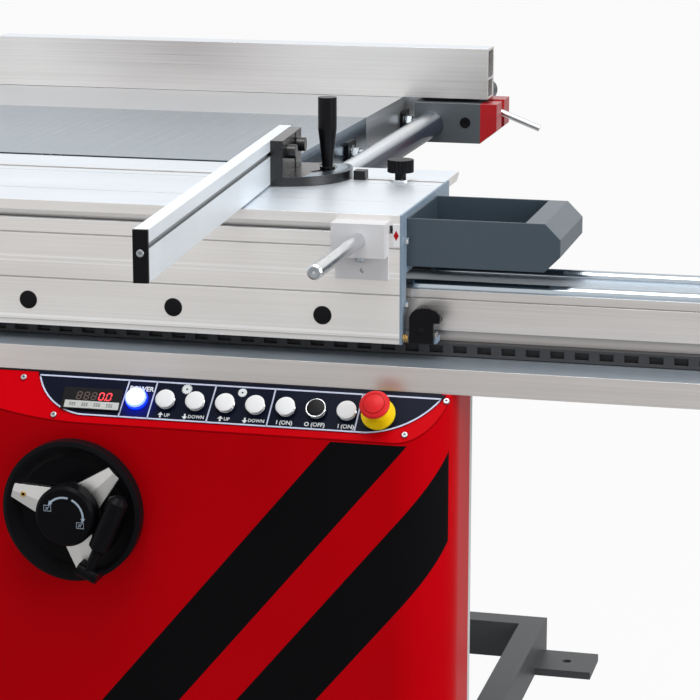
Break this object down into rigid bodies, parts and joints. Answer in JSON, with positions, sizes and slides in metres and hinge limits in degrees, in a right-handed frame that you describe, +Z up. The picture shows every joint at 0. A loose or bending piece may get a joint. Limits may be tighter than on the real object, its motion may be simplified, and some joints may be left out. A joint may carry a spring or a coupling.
{
  "type": "sliding table saw",
  "caption": "Floor-standing sliding table saw: long carriage on a guide rail beside a cast table, tilting blade with scorer, rip fence, mitre gauge, control panel and handwheel.",
  "frame": {"origin": "on the floor, in the middle of the floor anchors", "axes": "X along the carriage towards the infeed end, Y away from the carriage side, Z up"},
  "size_m": [3.836, 2.2234, 0.992],
  "materials": {
    "frame_paint": "semi-gloss",
    "cabinet_paint": "semi-gloss",
    "cover_paint": "gloss",
    "panel_film": "satin",
    "readout_case": "gloss",
    "lamp_lens": "gloss",
    "collar_metal": "polished",
    "stop_disc": "satin",
    "cast_table": "ground",
    "sheet_table": "satin",
    "profile": "anodised",
    "hard_chrome": "polished",
    "black_plastic": "matte",
    "unit_casting": "as cast",
    "end_paint": "satin",
    "tray_paint": "satin",
    "flag_plate": "satin",
    "grip_plastic": "satin",
    "cage_brass": "plain",
    "clamp_paint": "satin",
    "steel": "brushed",
    "black_paint": "gloss",
    "motor_paint": "satin",
    "belt_rubber": "matte",
    "hood_plastic": "gloss",
    "carrier_paint": "satin",
    "key_plastic": "satin",
    "stop_plastic": "gloss"
  },
  "bodies": {
    "machine": {"base_frame": "frame_paint", "cabinet": "cabinet_paint", "front_cover": "cover_paint", "control_panel": "panel_film", "readout": "readout_case", "power_lamp": "lamp_lens", "button_collars": "collar_metal", "stop_collar": "stop_disc", "main_table": "cast_table", "extension_tables": "sheet_table", "rail_beam": "profile", "guide_rods": "hard_chrome", "lock_strip": "black_plastic", "rail_brackets": "frame_paint", "fence_bar": "hard_chrome", "dust_port": "black_plastic", "trunnions": "unit_casting"},
    "door": {"service_door": "cabinet_paint"},
    "sliding_carriage": {"carriage": "profile", "carriage_plugs": "black_plastic", "end_plates": "end_paint", "tool_tray": "tray_paint", "end_screws": "hard_chrome", "pointer_flag": "flag_plate"},
    "latch": {"latch_lever": "grip_plastic"},
    "cage": {"roller_cage": "cage_brass"},
    "push_handle": {"handle_clamp": "clamp_paint", "handle_bar": "hard_chrome"},
    "shoe": {"mitre_shoe": "steel"},
    "mitre_gauge": {"mitre_plate": "black_paint", "mitre_fence": "profile", "fence_caps": "black_plastic", "mitre_bolts": "black_paint"},
    "mitre_grip": {"mitre_handle": "grip_plastic"},
    "stop_bolt": {"slot_bolt": "hard_chrome"},
    "stop_knob": {"slot_knob": "black_plastic"},
    "wheel": {"handwheel": "grip_plastic", "wheel_spokes": "steel"},
    "crank": {"crank_grip": "grip_plastic"},
    "cradle": {"tilt_cradle": "unit_casting"},
    "lift": {"lift_slide": "unit_casting", "drive_motor": "motor_paint", "drive_belt": "belt_rubber", "riving_knife": "steel"},
    "blade": {"arbor": "steel", "saw_blade": "steel"},
    "pulley": {"motor_pulley": "steel"},
    "guard": {"blade_guard": "hood_plastic"},
    "scorer": {"scoring_blade": "steel"},
    "rip_carrier": {"fence_carrier": "carrier_paint"},
    "rip_profile": {"rip_fence": "profile"},
    "rip_lever": {"fence_lever": "hard_chrome"},
    "mushroom": {"emergency_stop": "stop_plastic"},
    "scorer_up_button_cap": {"scorer_up_button": "key_plastic"},
    "scorer_down_button_cap": {"scorer_down_button": "key_plastic"},
    "blade_up_button_cap": {"blade_up_button": "key_plastic"},
    "blade_down_button_cap": {"blade_down_button": "key_plastic"},
    "start_button_cap": {"start_button": "key_plastic"},
    "stop_button_cap": {"stop_button": "grip_plastic"},
    "scorer_start_button_cap": {"scorer_start_button": "key_plastic"}
  },
  "joints": [
    {"name": "carriage_slide", "type": "slide", "parent": "machine", "child": "sliding_carriage", "axis": [1, 0, 0], "range_m": [-0.86, 2.34]},
    {"name": "cage_slide", "type": "slide", "parent": "machine", "child": "cage", "axis": [1, 0, 0], "range_m": [-0.43, 1.17]},
    {"name": "latch_turn", "type": "hinge", "parent": "sliding_carriage", "child": "latch", "pos_m": [0.636, -0.38, 0.704], "axis": [0, 1, 0], "range_deg": [0, 30], "stiffness_Nm_per_rad": 0.15, "springref_deg": -17.19},
    {"name": "clamp_slide", "type": "slide", "parent": "sliding_carriage", "child": "push_handle", "axis": [1, 0, 0], "range_m": [-2.6, 0.003]},
    {"name": "mitre_slide", "type": "slide", "parent": "sliding_carriage", "child": "shoe", "axis": [1, 0, 0], "range_m": [-2.5, 0.008]},
    {"name": "mitre_swivel", "type": "hinge", "parent": "shoe", "child": "mitre_gauge", "pos_m": [0.389, -0.118, 0.86], "axis": [0, 0, 1], "range_deg": [-49.6, 40.4]},
    {"name": "mitre_clamp", "type": "hinge", "parent": "shoe", "child": "mitre_grip", "pos_m": [0.436, -0.118, 0.876], "axis": [0, 0, 1], "range_deg": [-120, 120]},
    {"name": "stop_slide", "type": "slide", "parent": "sliding_carriage", "child": "stop_bolt", "axis": [1, 0, 0], "range_m": [-0.004, 0.04]},
    {"name": "knob_turn", "type": "hinge", "parent": "stop_bolt", "child": "stop_knob", "pos_m": [0.544, -0.118, 0.87], "axis": [0, 0, 1], "range_deg": [-180, 180]},
    {"name": "wheel_turn", "type": "hinge", "parent": "machine", "child": "wheel", "pos_m": [0.1805, -0.4843, 0.456], "axis": [0, -1, 0], "range_deg": [0, 3600]},
    {"name": "crank_fold", "type": "hinge", "parent": "wheel", "child": "crank", "pos_m": [0.20923, -0.5363, 0.37707], "axis": [0.9135, 0, -0.4067], "range_deg": [0, 90]},
    {"name": "blade_tilt", "type": "hinge", "parent": "machine", "child": "cradle", "pos_m": [-0.295, -0.006, 0.86], "axis": [-1, 0, 0], "range_deg": [0, 45]},
    {"name": "blade_lift", "type": "slide", "parent": "cradle", "child": "lift", "axis": [0, 0, 1], "range_m": [-0.06, 0.07]},
    {"name": "arbor_spin", "type": "hinge", "parent": "lift", "child": "blade", "pos_m": [-0.295, -0.006, 0.715], "axis": [0, 1, 0], "continuous": true},
    {"name": "motor_spin", "type": "hinge", "parent": "lift", "child": "pulley", "pos_m": [-0.295, -0.006, 0.53], "axis": [0, 1, 0], "continuous": true},
    {"name": "scorer_spin", "type": "hinge", "parent": "cradle", "child": "scorer", "pos_m": [-0.029, -0.006, 0.802], "axis": [0, 1, 0], "continuous": true},
    {"name": "guard_lift", "type": "hinge", "parent": "lift", "child": "guard", "pos_m": [-0.435, -0.006, 0.952], "axis": [0, -1, 0], "range_deg": [0, 45]},
    {"name": "fence_slide", "type": "slide", "parent": "machine", "child": "rip_carrier", "axis": [0, 1, 0], "range_m": [-0.74, 0.38]},
    {"name": "rip_slide", "type": "slide", "parent": "rip_carrier", "child": "rip_profile", "axis": [1, 0, 0], "range_m": [-0.2, 0.3]},
    {"name": "lever_turn", "type": "hinge", "parent": "rip_carrier", "child": "rip_lever", "pos_m": [0.496, 0.84, 0.838], "axis": [0, 1, 0], "range_deg": [-15, 35]},
    {"name": "door_swing", "type": "hinge", "parent": "machine", "child": "door", "pos_m": [0.532, 0.3443, 0.35], "axis": [0, 0, -1], "range_deg": [0, 110]},
    {"name": "stop_push", "type": "slide", "parent": "machine", "child": "mushroom", "axis": [0, 0.7657, -0.6432], "range_m": [0, 0.004], "stiffness_N_per_m": 1500, "springref_m": -0.003},
    {"name": "scorer_up_press", "type": "slide", "parent": "machine", "child": "scorer_up_button_cap", "axis": [0, 0.7657, -0.6432], "range_m": [0, 0.0035], "stiffness_N_per_m": 600, "springref_m": -0.003},
    {"name": "scorer_down_press", "type": "slide", "parent": "machine", "child": "scorer_down_button_cap", "axis": [0, 0.7657, -0.6432], "range_m": [0, 0.0035], "stiffness_N_per_m": 600, "springref_m": -0.003},
    {"name": "blade_up_press", "type": "slide", "parent": "machine", "child": "blade_up_button_cap", "axis": [0, 0.7657, -0.6432], "range_m": [0, 0.0035], "stiffness_N_per_m": 600, "springref_m": -0.003},
    {"name": "blade_down_press", "type": "slide", "parent": "machine", "child": "blade_down_button_cap", "axis": [0, 0.7657, -0.6432], "range_m": [0, 0.0035], "stiffness_N_per_m": 600, "springref_m": -0.003},
    {"name": "start_press", "type": "slide", "parent": "machine", "child": "start_button_cap", "axis": [0, 0.7657, -0.6432], "range_m": [0, 0.0035], "stiffness_N_per_m": 600, "springref_m": -0.003},
    {"name": "stop_press", "type": "slide", "parent": "machine", "child": "stop_button_cap", "axis": [0, 0.7657, -0.6432], "range_m": [0, 0.0035], "stiffness_N_per_m": 600, "springref_m": -0.003},
    {"name": "scorer_start_press", "type": "slide", "parent": "machine", "child": "scorer_start_button_cap", "axis": [0, 0.7657, -0.6432], "range_m": [0, 0.0035], "stiffness_N_per_m": 600, "springref_m": -0.003}
  ],
  "couplings": [
    {"joint": "cage_slide", "follows": "carriage_slide", "ratio": 0.5},
    {"joint": "blade_tilt", "follows": "wheel_turn", "ratio": 0.0125},
    {"joint": "motor_spin", "follows": "arbor_spin", "ratio": 1}
  ]
}
